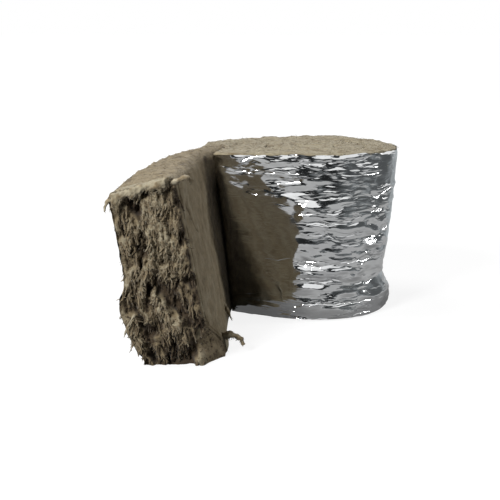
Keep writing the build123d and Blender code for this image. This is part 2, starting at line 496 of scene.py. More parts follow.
def wool_material(name, bright, dark, grain, bump_depth):
    """Matted mineral wool: beige-grey, mottled, streaked with fibres, with painted shade in its hollows."""
    n = Shading(name)
    mottling = n.noise(n.place, 90.0, 4.0, 0.6)
    fibres = n.noise(n.stretched(n.place, grain), 1.0, 4.0, 0.65, 0.6)
    fuzz = n.noise(n.place, 900.0, 3.0, 0.7)
    between = [(a + b) / 2 for a, b in zip(dark, bright)]
    colour = n.ramp(mottling, (0.3, dark), (0.52, between), (0.72, bright))
    colour = n.times(colour, n.ramp(fibres, *STREAKS), 0.8)
    # painted shade: darker and browner where each piece's value for it is high
    colour = n.times(colour, n.ramp(n.attribute("hollow"), *PAINTED_SHADE_COLOURS))
    n.set(Base_Color=colour, Roughness=n.math("ADD", n.math("MULTIPLY", fuzz, 0.15), 0.82))
    n.set(Sheen_Weight=0.10, Sheen_Roughness=0.6, Specular_IOR_Level=0.12)
    n.bump(n.math("ADD", n.math("MULTIPLY", fibres, 0.7), n.math("MULTIPLY", fuzz, 0.3)), bump_depth)
    return n.material


def foil_material():
    """Bright aluminium foil with fine creases that run round the roll."""
    n = Shading("crinkled_foil")
    wander = n.add("ShaderNodeTexNoise", Vector=n.place, Scale=38.0, Detail=2.0).outputs["Color"]
    wander = n.vector("SCALE", n.vector("SUBTRACT", wander, (0.5, 0.5, 0.5)), 0.010)
    bent = n.vector("ADD", n.place, wander)
    coarse, fine = n.folds(bent, COARSE_FOLDS), n.folds(bent, FINE_FOLDS)
    creases = n.math("ADD", coarse, n.math("MULTIPLY", fine, 0.45))
    nicks = n.ranged(n.noise(n.stretched(bent, NICKS), 1.0, 2.0), 0.58, 0.67, 0.0, -0.55)
    creases = n.math("ADD", creases, nicks)
    smear = n.noise(n.place, 24.0, 3.0, 0.6)
    n.set(Base_Color=n.ramp(smear, *SMEARS), Metallic=1.0)
    n.set(Roughness=n.math("ADD", n.math("MULTIPLY", smear, 0.10), 0.02))
    n.bump(n.math("MULTIPLY", creases, n.attribute("creased")), FOLD_DEPTH)
    return n.material


# Fibres and tufts


class StrandGrower(Tree):
    """A Geometry Nodes tree that grows tapered strands out of a surface.

    They stand where the surface's "grow" value is high, lean the way that the inputs say,
    and curl together. Each has painted shade towards its root and takes on part of the surface's
    painted shade, and none goes below the floor.
    """

    TIP_LIFT = 0.0006  # metres that a tip stays off the floor
    HOLLOW_SHARE = 0.7  # of the surface's painted shade and tone that its strands take on
    INPUTS = (
        ("Density", "NodeSocketFloat"),
        ("Length", "NodeSocketFloat"),
        ("Thickness", "NodeSocketFloat"),
        ("Outward", "NodeSocketFloat"),
        ("Pull", "NodeSocketVector"),
        ("Spread", "NodeSocketVector"),
        ("Wander", "NodeSocketFloat"),
        ("Wander Size", "NodeSocketFloat"),
        ("Curl", "NodeSocketFloat"),
        ("Curl Size", "NodeSocketFloat"),
        ("Root Shade", "NodeSocketFloat"),
        ("Uneven Shade", "NodeSocketFloat"),
        ("Sides", "NodeSocketInt"),
        ("Rings", "NodeSocketInt"),
        ("Seed", "NodeSocketInt"),
        ("Material", "NodeSocketMaterial"),
    )

    def __init__(self):
        super().__init__(bpy.data.node_groups.new("wool_strands", "GeometryNodeTree"))
        interface = self.tree.interface
        interface.new_socket("Geometry", in_out="INPUT", socket_type="NodeSocketGeometry")
        self.identifiers = {}
        for label, kind in self.INPUTS:
            socket = interface.new_socket(label, in_out="INPUT", socket_type=kind)
            self.identifiers[label] = socket.identifier
        interface.new_socket("Geometry", in_out="OUTPUT", socket_type="NodeSocketGeometry")
        given = self.add("NodeGroupInput").outputs

        spread = self.add(
            "GeometryNodeDistributePointsOnFaces", Mesh=given["Geometry"], Seed=given["Seed"],
            Density=self.math("MULTIPLY", self.read("grow"), given["Density"]),
        ).outputs
        away = self.vector("SCALE", spread["Normal"], given["Outward"])
        drift = self.vector("MULTIPLY", self.drift(given["Wander Size"], given["Wander"]), given["Spread"])
        heading = self.vector("ADD", self.vector("ADD", away, given["Pull"]), drift)
        turn = self.add("FunctionNodeAlignRotationToVector", {"axis": "Z"}, Vector=heading).outputs[0]
        length = self.math("MULTIPLY", given["Length"], self.chance(0.45, 1.5, 1))
        width = self.math("MULTIPLY", given["Thickness"], self.chance(0.5, 1.4, 2))
        size = self.add("ShaderNodeCombineXYZ", X=width, Y=width, Z=length).outputs[0]

        strand = self.add(
            "GeometryNodeMeshCone", Vertices=given["Sides"], Side_Segments=given["Rings"], Radius_Top=0.22,
            Radius_Bottom=0.5, Depth=1.0,
        ).outputs["Mesh"]
        strand = self.store(strand, "along", self.part(self.position(), "Z"), "POINT")
        placed = self.add(
            "GeometryNodeInstanceOnPoints", Points=spread["Points"], Instance=strand, Rotation=turn,
            Scale=size,
        ).outputs[0]
        placed = self.store(placed, "uneven", self.chance(0.0, 1.0, 3), "INSTANCE")
        grown = self.add("GeometryNodeRealizeInstances", Geometry=placed).outputs[0]

        along, uneven, hollow = (self.read(name) for name in ("along", "uneven", "hollow"))
        curl = self.vector("SCALE", self.drift(given["Curl Size"], given["Curl"]), along)
        grown = self.add("GeometryNodeSetPosition", Geometry=grown, Offset=curl).outputs[0]
        parts = self.add("ShaderNodeSeparateXYZ", Vector=self.position()).outputs
        lifted = self.math("MAXIMUM", parts["Z"], self.math("MULTIPLY", along, self.TIP_LIFT))
        above = self.add("ShaderNodeCombineXYZ", X=parts["X"], Y=parts["Y"], Z=lifted).outputs[0]
        grown = self.add("GeometryNodeSetPosition", Geometry=grown, Position=above).outputs[0]
        # painted shade towards each root, random tone, and part of the surface's painted shade
        root = self.math("MULTIPLY", self.math("SUBTRACT", 1.0, along), given["Root Shade"])
        uneven = self.math("MULTIPLY", uneven, given["Uneven Shade"])
        sunk = self.math("MULTIPLY", hollow, self.HOLLOW_SHARE)
        shade = self.math("ADD", self.math("ADD", root, uneven), sunk, True)
        grown = self.store(grown, "hollow", shade, "POINT")
        grown = self.add("GeometryNodeSetShadeSmooth", Geometry=grown).outputs[0]
        whole = self.add("GeometryNodeRealizeInstances", Geometry=grown).outputs[0]
        whole = self.add("GeometryNodeSetMaterial", Geometry=whole, Material=given["Material"]).outputs[0]
        self.feed(self.add("NodeGroupOutput").inputs["Geometry"], whole)

    def position(self):
        return self.add("GeometryNodeInputPosition").outputs[0]

    def read(self, name):
        node = self.add("GeometryNodeInputNamedAttribute", {"data_type": "FLOAT"}, Name=name)
        return node.outputs["Attribute"]

    def drift(self, size, strength):
        """A smooth random direction that changes over the given number of metres."""
        scaled = self.vector("SCALE", self.position(), self.math("DIVIDE", 1.0, size))
        noise = self.add("ShaderNodeTexNoise", Vector=scaled, Scale=1.0, Detail=1.5).outputs["Color"]
        centred = self.vector("SUBTRACT", noise, (0.5, 0.5, 0.5))
        return self.vector("SCALE", centred, self.math("MULTIPLY", strength, 2.0))

    def chance(self, low, high, seed):
        node = self.add("FunctionNodeRandomValue", {"data_type": "FLOAT"})
        named = {socket.identifier: socket for socket in node.inputs}
        named["Min_001"].default_value, named["Max_001"].default_value = low, high
        named["Seed"].default_value = seed
        return {socket.identifier: socket for socket in node.outputs}["Value_001"]

    def store(self, geometry, name, value, domain):
        return self.add(
            "GeometryNodeStoreNamedAttribute", {"data_type": "FLOAT", "domain": domain},
            Geometry=geometry, Name=name, Value=value,
        ).outputs[0]

    def grow(self, name, carrier, **values):
        """Grows strands on a copy of the carrier's surface and keeps the strands alone."""
        modifier = carrier.modifiers.new(name, "NODES")
        modifier.node_group = self.tree
        for label, value in values.items():
            modifier[self.identifiers[label.replace("_", " ")]] = value
        bpy.context.view_layer.update()
        graph = bpy.context.evaluated_depsgraph_get()
        evaluated = carrier.evaluated_get(graph)
        mesh = bpy.data.meshes.new_from_object(evaluated, preserve_all_data_layers=True, depsgraph=graph)
        carrier.modifiers.remove(modifier)
        mesh.name = name
        return in_scene(name, mesh)


# The wool

TOP_CELLS, INNER_CELLS, BOTTOM_CELLS, OUTER_CELLS = 26, 96, 6, 10
SLIT = ((206.0, 124.0), (199.0, 112.0), (190.0, 102.0), (186.0, 100.0))  # a slit in the inner face
EDGE_ROUNDING = 8.0  # of the free end's bare edges
SEAM_ROUNDING = 2.5  # of all the others
SLIT_WIDTH = 1.1
CAP_DEPTH = 16.0  # of the torn end, which is a piece of its own
CAP_OVERLAP = 3.0  # how far the body reaches into it
TURN_STEP, TAIL_STEP = 2.4, 1.5  # between the body's sections
UNDER_FOIL = 2.2  # how far the wool keeps back from the foil's creases
TOP_HUMP, TOP_HUMP_REACH = (30.0, 76.0), 26.0  # where the roll's upper side swells, at the back
TORN_CELL = 0.85


def section_loop():
    """One trip round the mat's section as shares: up the inner face, over the top and back."""
    up = np.linspace(0, 1, INNER_CELLS, endpoint=False)
    over = np.linspace(0, 1, TOP_CELLS, endpoint=False)
    down = np.linspace(1, 0, OUTER_CELLS, endpoint=False)
    back = np.linspace(1, 0, BOTTOM_CELLS, endpoint=False)
    a = np.concatenate([0 * up, over, 1 + 0 * down, back])
    b = np.concatenate([up, 1 + 0 * over, down, 0 * back])
    return a, b


def rounded_section(a, b, width, height, radius_inner, radius_outer):
    """Moves the points of a section's corners onto its rounded edges, in shares."""
    x, y = a * width, b * height
    corners = (
        (False, True, radius_inner),
        (False, False, SEAM_ROUNDING),
        (True, True, radius_outer),
        (True, False, radius_outer),
    )
    for from_outer, from_top, radius in corners:
        dx = width - x if from_outer else x
        dy = height - y if from_top else y
        inside = (dx < radius) & (dy < radius)
        vx, vy = dx - radius, dy - radius
        size = np.maximum(np.hypot(vx, vy), 1e-6)
        nx, ny = radius + vx / size * radius, radius + vy / size * radius
        x = np.where(inside, width - nx if from_outer else nx, x)
        y = np.where(inside, height - ny if from_top else ny, y)
    return x / width, y / height


def top_relief(place, from_edge):
    """How far the wool's upper side stands above the strip's edge: lumps, clumps and fluff."""
    rise = 1.4 * layered(Noise(11), place, 42.0, 2) + 1.0 * layered(Noise(12), place, 9.0, 3, 0.6)
    rise += 0.5 * layered(Noise(13), place, 2.6, 2)
    rise += 1.3 * step_between(0.0, 11.0, from_edge) - 0.6
    rise += 2.4 * near_place(place, TOP_HUMP, TOP_HUMP_REACH)
    rise += 1.6 * layered(Noise(15), place, 15.0, 2) * step_between(20.0, 60.0, place[..., 1])
    return rise


def wool_body(material):
    """The whole strip but its torn end: turns pressed together, and the swollen free end."""
    strip = whole_strip(TURN_STEP, TAIL_STEP, TAIL_LENGTH - CAP_DEPTH + CAP_OVERLAP)
    a, b = section_loop()
    stations = len(strip.behind)
    a, b = np.tile(a, (stations, 1)), np.tile(b, (stations, 1))
    width = np.linalg.norm(strip.outer_high - strip.inner_high, axis=1)[:, None]
    tail = step_between(0.0, 25.0, strip.behind)[:, None]
    rounding = SEAM_ROUNDING + (EDGE_ROUNDING - SEAM_ROUNDING) * tail
    a, b = rounded_section(a, b, width, STRIP_WIDTH, rounding, SEAM_ROUNDING)
    base = strip.at(a, b)
    normal = grid_normals(base, closed=True)

    top_share = step_between(0.93, 1.0, b)
    points = base.copy()
    rise = top_relief(base, np.minimum(a * width, (1 - a) * width))
    points[..., 2] += top_share * (rise + tail * 1.4 * layered(Noise(12), base, 14.0, 3, 0.65))
    face = tail * step_between(0.02, 0.10, b) * (1 - top_share) * (a < 0.5)
    swell = 1.4 * layered(Noise(11), base, (34, 34, 30), 2) + 0.8 * layered(Noise(12), base, 9.0, 3, 0.6)
    swell += 0.4 * layered(Noise(13), base, 3.0, 2)
    slit = np.zeros_like(b)
    for (near, low), (far, high) in zip(SLIT, SLIT[1:]):
        run = np.array([far - near, high - low])
        at = np.stack([strip.behind[:, None] - near + 0 * b, base[..., 2] - low], axis=-1)
        reach = np.clip((at @ run) / (run @ run), 0, 1)
        apart = np.linalg.norm(at - reach[..., None] * run, axis=-1)
        slit = np.maximum(slit, np.exp(-(apart / SLIT_WIDTH) ** 2))
    points += (face * (swell - 1.2 * slit))[..., None] * normal
    outermost = strip.turn[:, None] >= HALF_TURNS - 2
    covered = (a > 0.999) * step_between(0.0, 0.02, b) * step_between(1.0, 0.98, b) * outermost
    over_foil = (a > 0.95) * step_between(0.975, 0.99, b) * (0.9 + 1.2 * layered(Noise(16), base, 9.0, 2))
    points += (over_foil - UNDER_FOIL * covered)[..., None] * normal
    # painted shade and tone: darker spots on the upper side, darker still on the free end; the inner face
    # shaded, mottled, and darkest in its slit
    hollow = top_share * np.clip(-0.15 - layered(Noise(12), base, 6.0, 3, 0.6), 0, 1) * 1.2
    # painted shadow deep in the wedge between the free end and the roll
    inside = 0.35 * step_between(104.0, 70.0, strip.behind)[:, None]
    hollow += top_share * (0.09 + 0.25 * tail)
    hollow += face * (0.34 + 0.30 * layered(Noise(14), base, (9, 9, 10), 3, 0.65) + 0.5 * slit + inside)
    grow = top_share * step_between(0.0, 0.2, normal[..., 2]) * (strip.turn[:, None] >= 1)
    columns = a.shape[1]
    faces = [list(f) for f in grid_faces(stations, columns, closed=True)]
    faces.append(list(range(columns))[::-1])
    faces.append([(stations - 1) * columns + c for c in range(columns)])
    return new_piece("wool_mat_roll", points.reshape(-1, 3), faces, material, hollow=hollow, grow=grow)


def rim_of(a, b):
    """How many millimetres inside the torn face's outline a place is."""
    return np.minimum(np.minimum(a, 1 - a) * FREE_THICKNESS, np.minimum(b, 1 - b) * STRIP_WIDTH)


def worn_corner(a, b):
    """1 where the torn face's lower inner corner is as matted as the inner face, 0 elsewhere."""
    return step_between(0.30, 0.12, a) * step_between(0.24, 0.10, b)


def torn_relief(a, b, wide, tall):
    """How far the torn face stands out or back, from layers that part and strands in them."""
    flat = np.column_stack([a * wide, 0 * a, b * tall])
    wander = 4.5 * layered(Noise(21), flat * (0, 0, 1) + (5, 0, 0), (1, 1, 30), 2)
    wander = wander + 2.2 * layered(Noise(27), flat, (7.0, 1, 9.0), 2)
    place = flat + np.column_stack([wander, 0 * a, 0 * a])
    layers = layered(Noise(22), place, (5.0, 1, 26.0), 2, 0.6)
    strands = ridged(Noise(23), place, (2.6, 1, 11.0), 3, 0.65)
    tufts = layered(Noise(24), flat, (5.5, 1, 9.0), 3, 0.65)
    pits = step_between(-0.02, 0.5, layered(Noise(25), place, (6.5, 1, 17.0), 2, 0.6))
    under_lip = step_between(0.84, 0.94, b)
    forward = 3.6 * layers + 4.2 * (strands - 0.6) + 4.0 * tufts - 8.2 * pits - 0.8 * under_lip
    forward -= 5.0 * step_between(0.35, 0.0, b) * step_between(0.2, 0.45, a)
    inner_rim = 0.5 * step_between(0.5, 0.3, a)
    forward = forward * (0.4 + inner_rim + (0.6 - inner_rim) * step_between(0.0, 5.0, rim_of(a, b)))
    worn = worn_corner(a, b)
    felt = 1.3 * layered(Noise(28), flat, 7.0, 3, 0.65)
    rounded = 1 - np.sqrt(1 - np.clip(1 - a * wide / 7.0, 0.0, 1.0) ** 2)
    return forward * (1 - 0.7 * worn) + felt * worn - (4.0 + 3.0 * worn) * rounded


def torn_end(material):
    """The torn face of the free end: layers of strands, standing out and sunk in by turns."""
    wide, tall = FREE_THICKNESS, STRIP_WIDTH
    na, nb, nd = (int(size / TORN_CELL) for size in (wide, tall, CAP_DEPTH))
    a_line, b_line, d_line = (np.linspace(0, 1, n + 1) for n in (na, nb, nd))
    patches = [np.meshgrid(a_line, b_line, [0.0], indexing="ij")]
    for side in (0.0, 1.0):
        patches.append(np.meshgrid([side], b_line, d_line, indexing="ij"))
        patches.append(np.meshgrid(a_line, [side], d_line, indexing="ij"))
    points, faces, keys = [], [], {}

    def index(a, b, d):
        key = (round(a * na), round(b * nb), round(d * nd))
        if key not in keys:
            keys[key] = len(points)
            points.append((a, b, d))
        return keys[key]

    for number, patch in enumerate(patches):
        a, b, d = (np.squeeze(values) for values in patch)
        for i in range(a.shape[0] - 1):
            for j in range(a.shape[1] - 1):
                quad = [index(a[p], b[p], d[p]) for p in ((i, j), (i + 1, j), (i + 1, j + 1), (i, j + 1))]
                faces.append(quad if number in (0, 2, 3) else quad[::-1])
    a, b, d = np.array(points).T
    ra, rb = rounded_section(a, b, wide, tall, EDGE_ROUNDING, SEAM_ROUNDING)
    out = tail_sections(TAIL_LENGTH - d * CAP_DEPTH).at(ra[:, None], rb[:, None])[:, 0]
    forward = torn_relief(a, b, wide, tall)
    reach = (1 - d) ** 1.5
    ragged = layered(Noise(26), out, (3.0, 3.0, 6.0), 3)
    proud = (0.55 - 0.9 * (a < 0.5)) * (1 - d) + 1.3 * ragged * (1 - d) - 0.9 * d**3
    out[:, 0] += np.sign(0.5 - a) * (np.minimum(a, 1 - a) < 0.02) * proud
    out[:, 2] += (b > 0.98) * (proud + 0.8)
    out[:, 1] -= forward * reach
    worn = worn_corner(a, b)
    # painted shade where the torn face is sunk in, and over its worn lower inner corner as on the inner face
    pitted = np.clip(-(forward - 0.5) / 7.0, 0.05, 1) * reach * (1 - worn)
    hollow = pitted + (0.45 + 0.3 * Noise(29)(out, 6.0)) * worn
    grow = (0.3 + 0.7 * step_between(-7.0, 1.0, forward)) * (1 - 0.5 * worn)
    grow = (d == 0) * grow * step_between(0.0, 2.0, rim_of(np.maximum(a, 0.03), b))
    return new_piece("wool_torn_end", out, faces, material, hollow=hollow, grow=grow)


# The lip's section, forward of the torn face and down from the strip's upper edge: over the top
# and down the front, then up behind that and back under it
LIP_AROUND = ((-13, -0.4), (-6, -1.2), (0, -1.5), (3.2, -0.4), (4.2, 2.0), (4.4, 4.5), (3.9, 7.0), (2.8, 8.6))
LIP_BACK = ((1.2, 8.2), (0.4, 6.0), (0.2, 3.5), (-1.0, 2.0), (-6, 1.6), (-13, 1.4))


def closed_tube(rings):
    """Faces over rings of points, with both ends capped."""
    count, around = rings.shape[:2]
    faces = [list(face) for face in grid_faces(count, around, closed=True)]
    faces.append(list(range(around))[::-1])
    faces.append([(count - 1) * around + c for c in range(around)])
    return faces


def torn_lip(material):
    """The wool of the strip's edge where it hangs over the torn end, ragged along the bottom."""
    outline = np.array(LIP_AROUND + LIP_BACK, float)
    corners = np.arange(len(outline) + 1)
    fine = np.linspace(0, len(outline), 54, endpoint=False)
    outline = np.vstack([outline, outline[:1]])
    outline = np.column_stack([np.interp(fine, corners, outline[:, axis]) for axis in (0, 1)])
    a = np.linspace(0.035, 0.985, 76)
    flat = np.column_stack([a * FREE_THICKNESS, 0 * a, 0 * a])
    drop = 0.68 + 0.85 * step_between(0.72, 0.98, a) + 0.55 * layered(Noise(61), flat, 7.0, 3, 0.7)
    drop = drop * (0.45 + 0.55 * step_between(0.0, 0.12, a)) * (0.6 + 0.4 * step_between(1.0, 0.96, a))
    closing = np.sqrt(step_between(0.02, 0.13, a) * step_between(1.0, 0.95, a))[:, None]
    forward = -9 + (outline[None, :, 0] + 9 + 1.2 * layered(Noise(62), flat, 9.0, 2)[:, None]) * closing
    down = 0.6 + (outline[None, :, 1] * np.where(outline[None, :, 1] > 0, drop[:, None], 1.0) - 0.6) * closing
    height = 1 - down / STRIP_WIDTH
    sections = tail_sections(np.full(len(a), TAIL_LENGTH))
    points = sections.at(np.repeat(a[:, None], len(fine), axis=1), height)
    points[..., 1] -= forward
    normal = grid_normals(points, closed=True)
    clear_of_top = step_between(-13.0, -8.0, outline[None, :, 0])
    lumps = closing * 1.8 * layered(Noise(63), points, 5.0, 3, 0.7) * clear_of_top
    points += lumps[..., None] * normal
    grow = step_between(-4.0, 3.0, outline[None, :, 0]) * np.ones((len(a), 1))
    # painted shade on the lip's underside and in its dents
    hollow = 0.25 * step_between(4.0, 9.0, down) - 0.6 * np.minimum(lumps, 0)
    faces = closed_tube(points)
    return new_piece("wool_torn_lip", points.reshape(-1, 3), faces, material, hollow=hollow, grow=grow)


# Torn bits that stand away from the mat: points along each, then its thickness there
LOOSE_TUFTS = (
    (((-68, -184, 9), (-61, -186, 13), (-55, -187, 15), (-50, -188, 13.6), (-46, -188, 10),
      (-44.6, -188, 6.5)),
     (9.5, 7.4, 5.6, 5.2, 5.2, 3.8)),
    (((-70, -110, 27), (-65.5, -112, 23), (-62, -114, 18), (-59.6, -115, 13.5), (-57.6, -116, 9)),
     (5.0, 4.6, 3.6, 2.2, 0.8)),
    (((-126, -236, 42), (-129, -238, 38), (-131.3, -239, 33.6), (-133, -239, 29), (-134.6, -239, 24.5)),
     (2.6, 2.0, 1.5, 1.4, 0.8)),
    (((-141, -240, 134), (-144.5, -243, 131), (-146.2, -244, 127.5), (-147, -244, 123)),
     (4.0, 3.4, 2.2, 0.9)),
    (((-98, -238, 143), (-93, -243, 146), (-88, -245, 149), (-84, -244, 150), (-81.6, -242, 147.5),
      (-82, -240, 144)),
     (3.0, 4.6, 4.4, 4.2, 3.4, 1.8)),
)


def loose_tufts(material):
    """Lumpy, tapering bits of torn wool, each along its own short path."""
    points, faces, around = [], [], 12
    for number, (path, widths) in enumerate(LOOSE_TUFTS):
        path, widths = np.array(path, float), np.array(widths)
        place = np.linspace(0, len(path) - 1, 8 * len(path))
        centre = np.column_stack([np.interp(place, range(len(path)), path[:, axis]) for axis in range(3)])
        for _ in range(4):
            centre[1:-1] = (centre[:-2] + 2 * centre[1:-1] + centre[2:]) / 4
        width = np.interp(place, range(len(path)), widths)
        along = np.gradient(centre, axis=0)
        along /= np.linalg.norm(along, axis=1, keepdims=True)
        side = np.cross(along, (0.3, 0.2, 1.0))
        side /= np.linalg.norm(side, axis=1, keepdims=True)
        other = np.cross(along, side)
        turn = np.linspace(0, 2 * math.pi, around, endpoint=False)[None, :, None]
        ring = np.cos(turn) * side[:, None] + 0.8 * np.sin(turn) * other[:, None]
        tube = centre[:, None] + ring * (width / 2)[:, None, None]
        lumps = 1 + 0.8 * layered(Noise(71 + number), tube, 3.2, 2, 0.6)
        tube = centre[:, None] + ring * ((width / 2)[:, None] * lumps)[..., None]
        offset = sum(len(part) for part in points)
        faces += [[corner + offset for corner in face] for face in closed_tube(tube)]
        points.append(tube.reshape(-1, 3))
    points = np.concatenate(points)
    hollow = 0.25 - 0.5 * Noise(79)(points, 2.5)
    return new_piece("wool_loose_tufts", points, faces, material, hollow=hollow, grow=np.ones(len(points)))


# The foil

FOIL_STEP = 1.35
FOIL_CELLS = 108  # up the roll
FOIL_MARGIN = 1.2
FOIL_LIFT = 0.6  # how far the creased foil's middle stands off its smooth place
WOUND_STEP = 3.0
WOUND_SETBACK = 0.8  # how much lower the inner turns' foil ends
WOUND_LIFT = 0.35
LIFTED_FOOT, LIFTED_FOOT_REACH = (76.0, -15.0), 13.0  # where the foil's lower edge has ridden up


CREASE_TABLE = 64  # cells each way, after which they repeat
LARGE_CREASES, MIDDLE_CREASES, SMALL_CREASES = (50.0, 16.0), (24.0, 8.0), (11.0, 3.8)  # wide, tall


def facets(along, up, wide, tall, seed):
    """Creased foil: uneven cells with straight folds between them, each a flat-sided dent or rise.

    Its height is in millimetres, and 0 along the folds.
    """
    random = np.random.default_rng(seed)
    spots = random.uniform(0.08, 0.92, (CREASE_TABLE, CREASE_TABLE, 2))
    rises = random.uniform(0.35, 1.0, (CREASE_TABLE, CREASE_TABLE))
    rises = rises * random.choice((-1.0, 1.0), (CREASE_TABLE, CREASE_TABLE))
    x, y = along / wide + 20.0, up / tall + 20.0
    cell_x, cell_y = np.floor(x).astype(int), np.floor(y).astype(int)
    near = []
    for dx in (-1, 0, 1):
        for dy in (-1, 0, 1):
            i, j = (cell_x + dx) % CREASE_TABLE, (cell_y + dy) % CREASE_TABLE
            place = np.stack([cell_x + dx, cell_y + dy], axis=-1) + spots[i, j]
            near.append((place, rises[i, j]))
    here = np.stack([x, y], axis=-1)
    distances = np.stack([np.linalg.norm(place - here, axis=-1) for place, _ in near])
    nearest = np.argmin(distances, axis=0)
    places = np.stack([place for place, _ in near])
    own = np.take_along_axis(places, nearest[None, ..., None], axis=0)[0]
    rise = np.take_along_axis(np.stack([rise for _, rise in near]), nearest[None], axis=0)[0]
    to_fold = np.full(x.shape, 9.0)
    for number, place in enumerate(places):
        apart = np.linalg.norm(place - own, axis=-1)
        away = ((own + place) / 2 - here) * (place - own)
        distance = away.sum(axis=-1) / np.maximum(apart, 1e-9)
        to_fold = np.where(nearest == number, to_fold, np.minimum(to_fold, distance))
    return tall * (to_fold * rise)


def crinkles(along, up, smooth):
    """How far the foil stands off its smooth shape, in millimetres, and how creased it is."""
    flat = np.stack([along, 0 * along, up], axis=-1)
    bent_along = along + 9 * Noise(31)(flat, (45, 1, 16))
    bent_up = up + 2.0 * Noise(32)(flat, (38, 1, 20)) + 0.8 * Noise(33)(flat, (13, 1, 9))
    large = facets(bent_along, bent_up, *LARGE_CREASES, 34)
    middle = facets(bent_along + 3 * Noise(35)(flat, (14, 1, 8)), bent_up, *MIDDLE_CREASES, 35)
    small = facets(bent_along, bent_up + 0.8 * Noise(36)(flat, (9, 1, 6)), *SMALL_CREASES, 36)
    strength = 0.45 + 0.95 * step_between(-0.30, 0.30, Noise(37)(flat, (42, 1, 22)))
    strength = np.maximum(strength, 0.95 * step_between(34.0, 18.0, up))
    strength = strength * (1 - smooth) * (0.84 + 0.16 * step_between(30.0, 70.0, up))
    return strength * (0.22 * large + 0.34 * middle + 0.20 * small), strength / 1.4


def foil_facing(material):
    """The foil along the whole outer face, crinkled, with its edges tucked over the wool."""
    strip = whole_strip(FOIL_STEP, FOIL_STEP)
    strip = strip[strip.turn >= HALF_TURNS - 2]
    rows = len(strip.behind)
    middle = (strip.outer_low + strip.outer_high) / 2
    along = np.concatenate([[0.0], np.cumsum(np.linalg.norm(np.diff(middle, axis=0), axis=1))])
    share = np.linspace(0.0, 1.0, FOIL_CELLS + 1)
    ragged = np.column_stack([along, 0 * along, 0 * along])
    low = FOIL_MARGIN + 0.8 * layered(Noise(37), ragged, 14.0, 3)
    high = FOIL_MARGIN + 1.6 * layered(Noise(38), ragged, 15.0, 3)
    low = low + 4.0 * near_place(middle, LIFTED_FOOT, LIFTED_FOOT_REACH)
    b = (low[:, None] + share * (STRIP_WIDTH - low - high)[:, None]) / STRIP_WIDTH
    base = strip.at(np.ones_like(b), b)
    normal = -grid_normals(base)
    grid_along = np.tile(along[:, None], (1, b.shape[1]))
    up = base[..., 2]
    left_of_front = step_between(6.0, -6.0, base[..., 0]) * (base[..., 1] < 0)
    left_of_front = left_of_front * (strip.turn == HALF_TURNS - 2)[:, None]
    smooth = 0.88 * left_of_front * step_between(122.0, 100.0, up) * step_between(4.0, 24.0, up)
    smooth -= 0.45 * left_of_front * step_between(106.0, 120.0, up)
    from_edge = np.minimum(b, 1 - b) * STRIP_WIDTH
    height, creased = crinkles(grid_along, b * STRIP_WIDTH, smooth)
    stand = FACING + FOIL_LIFT + height * (0.12 + 0.88 * step_between(1.0, 5.0, from_edge))
    tuck = 0.9 * step_between(-0.1, 0.35, layered(Noise(39), ragged, 13.0, 3, 0.6))[:, None]
    stand = stand - tuck * step_between(3.2, 1.0, from_edge)
    points = base + stand[..., None] * normal
    faces = grid_faces(rows, b.shape[1])[:, ::-1]
    return new_piece("foil_facing_outer", points.reshape(-1, 3), faces, material, creased=creased)


def wound_foil(material):
    """The foil of the inner turns, seen only as thin edges on the roll's two ends."""
    strip = whole_strip(WOUND_STEP, WOUND_STEP)
    inside = np.where(strip.turn < HALF_TURNS - 2)[0]
    strip = strip[np.append(inside, inside[-1] + 1)]
    top = STRIP_WIDTH - FOIL_MARGIN - WOUND_SETBACK
    b = np.array([FOIL_MARGIN, 10.0, 75.0, 140.0, top]) / STRIP_WIDTH
    b = np.tile(b, (len(strip.behind), 1))
    base = strip.at(np.ones_like(b), b)
    points = base + WOUND_LIFT * -grid_normals(base)
    faces = grid_faces(*b.shape)[:, ::-1]
    return new_piece("foil_facing_wound", points.reshape(-1, 3), faces, material)


# Studio

MIRRORED_FLOOR = 0.31  # the floor's glow where the foil mirrors it, against 1 to the camera: a painted, dimmer reflection
WORLD_FILL = 0.045  # light from all around
FLOOR_REACH = 20.0
REFLECTION_RING_SIDES, REFLECTION_RING_RADIUS, REFLECTION_RING_FOOT, REFLECTION_RING_TOP = 64, 0.44, 0.002, 0.165
SOFTBOXES = (  # where each stands, the height that it points at, its size and its power
    ("overhead_softbox", (-0.9, 0.2, 1.7), 0.1, 1.0, 23.0),
    ("front_softbox", (-0.9, -1.5, 1.0), 0.08, 0.5, 42.0),
    ("side_softbox", (1.71, 0.38, 0.70), 0.08, 0.36, 12.8),
)


def matt(name, grey):
    return Shading(name).set(Base_Color=(grey, grey, grey, 1.0), Roughness=1.0, Specular_IOR_Level=0.0)


def stage_mesh(name, points, faces, material):
    mesh = bpy.data.meshes.new(name)
    mesh.from_pydata(points, [], faces)
    mesh.materials.append(material)
    thing = in_scene(name, mesh)
    return thing


def seen_or_mirrored(tree, mirrored=1.0):
    """1 for what the camera sees, a share of it in a reflection, and 0 for what lights things."""
    rays = tree.add("ShaderNodeLightPath").outputs
    both = tree.math("ADD", rays["Is Glossy Ray"], rays["Is Transmission Ray"], True)
    seen = tree.math("ADD", rays["Is Camera Ray"], tree.math("MULTIPLY", both, mirrored), True)
    return tree.math("MULTIPLY", seen, tree.math("SUBTRACT", 1.0, rays["Diffuse Depth"], True))


def softbox(name, place, target_height, size, power):
    light = bpy.data.lights.new(name, "AREA")
    light.shape, light.size, light.size_y = "RECTANGLE", size, size
    light.energy = power
    lamp = in_scene(name, light)
    lamp.location = place
    heading = Vector((0, 0, target_height)) - Vector(place)
    lamp.rotation_euler = heading.to_track_quat("-Z", "Y").to_euler()


